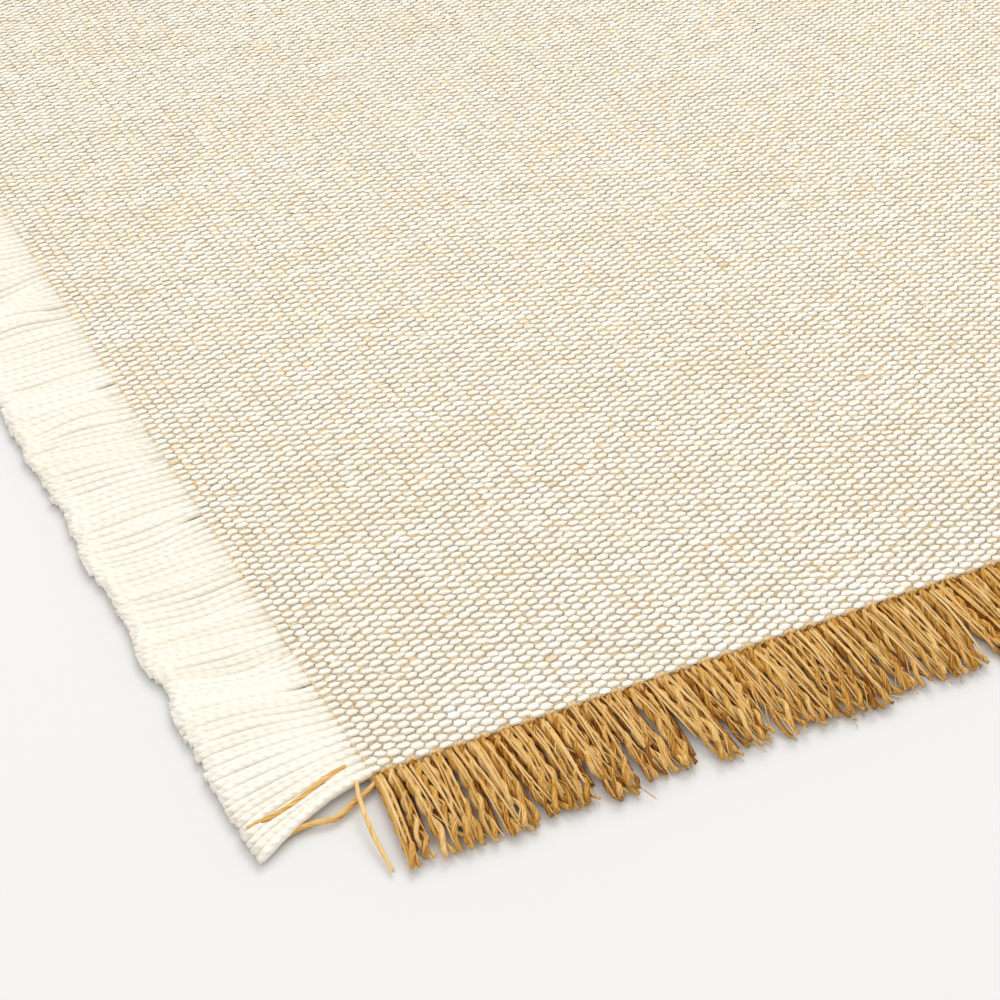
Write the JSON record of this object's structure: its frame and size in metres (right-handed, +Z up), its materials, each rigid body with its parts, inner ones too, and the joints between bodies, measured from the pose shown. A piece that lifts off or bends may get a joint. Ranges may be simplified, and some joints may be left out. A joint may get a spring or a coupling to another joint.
{
  "type": "placemat",
  "caption": "Flat rectangular woven placemat of cream cotton over tan jute, with a loose fringe of its own yarns on all four sides.",
  "frame": {"origin": "middle of the underside, on the surface that the mat lies on", "axes": "+X along the cotton yarns, the long way; +Y along the jute yarns; +Z up"},
  "size_m": [0.481, 0.33, 0.0022],
  "materials": {
    "woven_cloth": "matt warp-faced weave, cream floats with tan gaps",
    "cotton_yarn": "soft matt plied cotton",
    "jute_yarn": "coarse hairy two-ply jute"
  },
  "bodies": {
    "root": {"cloth": "woven_cloth", "cotton_fringe_left": "cotton_yarn", "cotton_fringe_right": "cotton_yarn", "jute_fringe_front": "jute_yarn", "jute_fringe_back": "jute_yarn"}
  },
  "joints": []
}
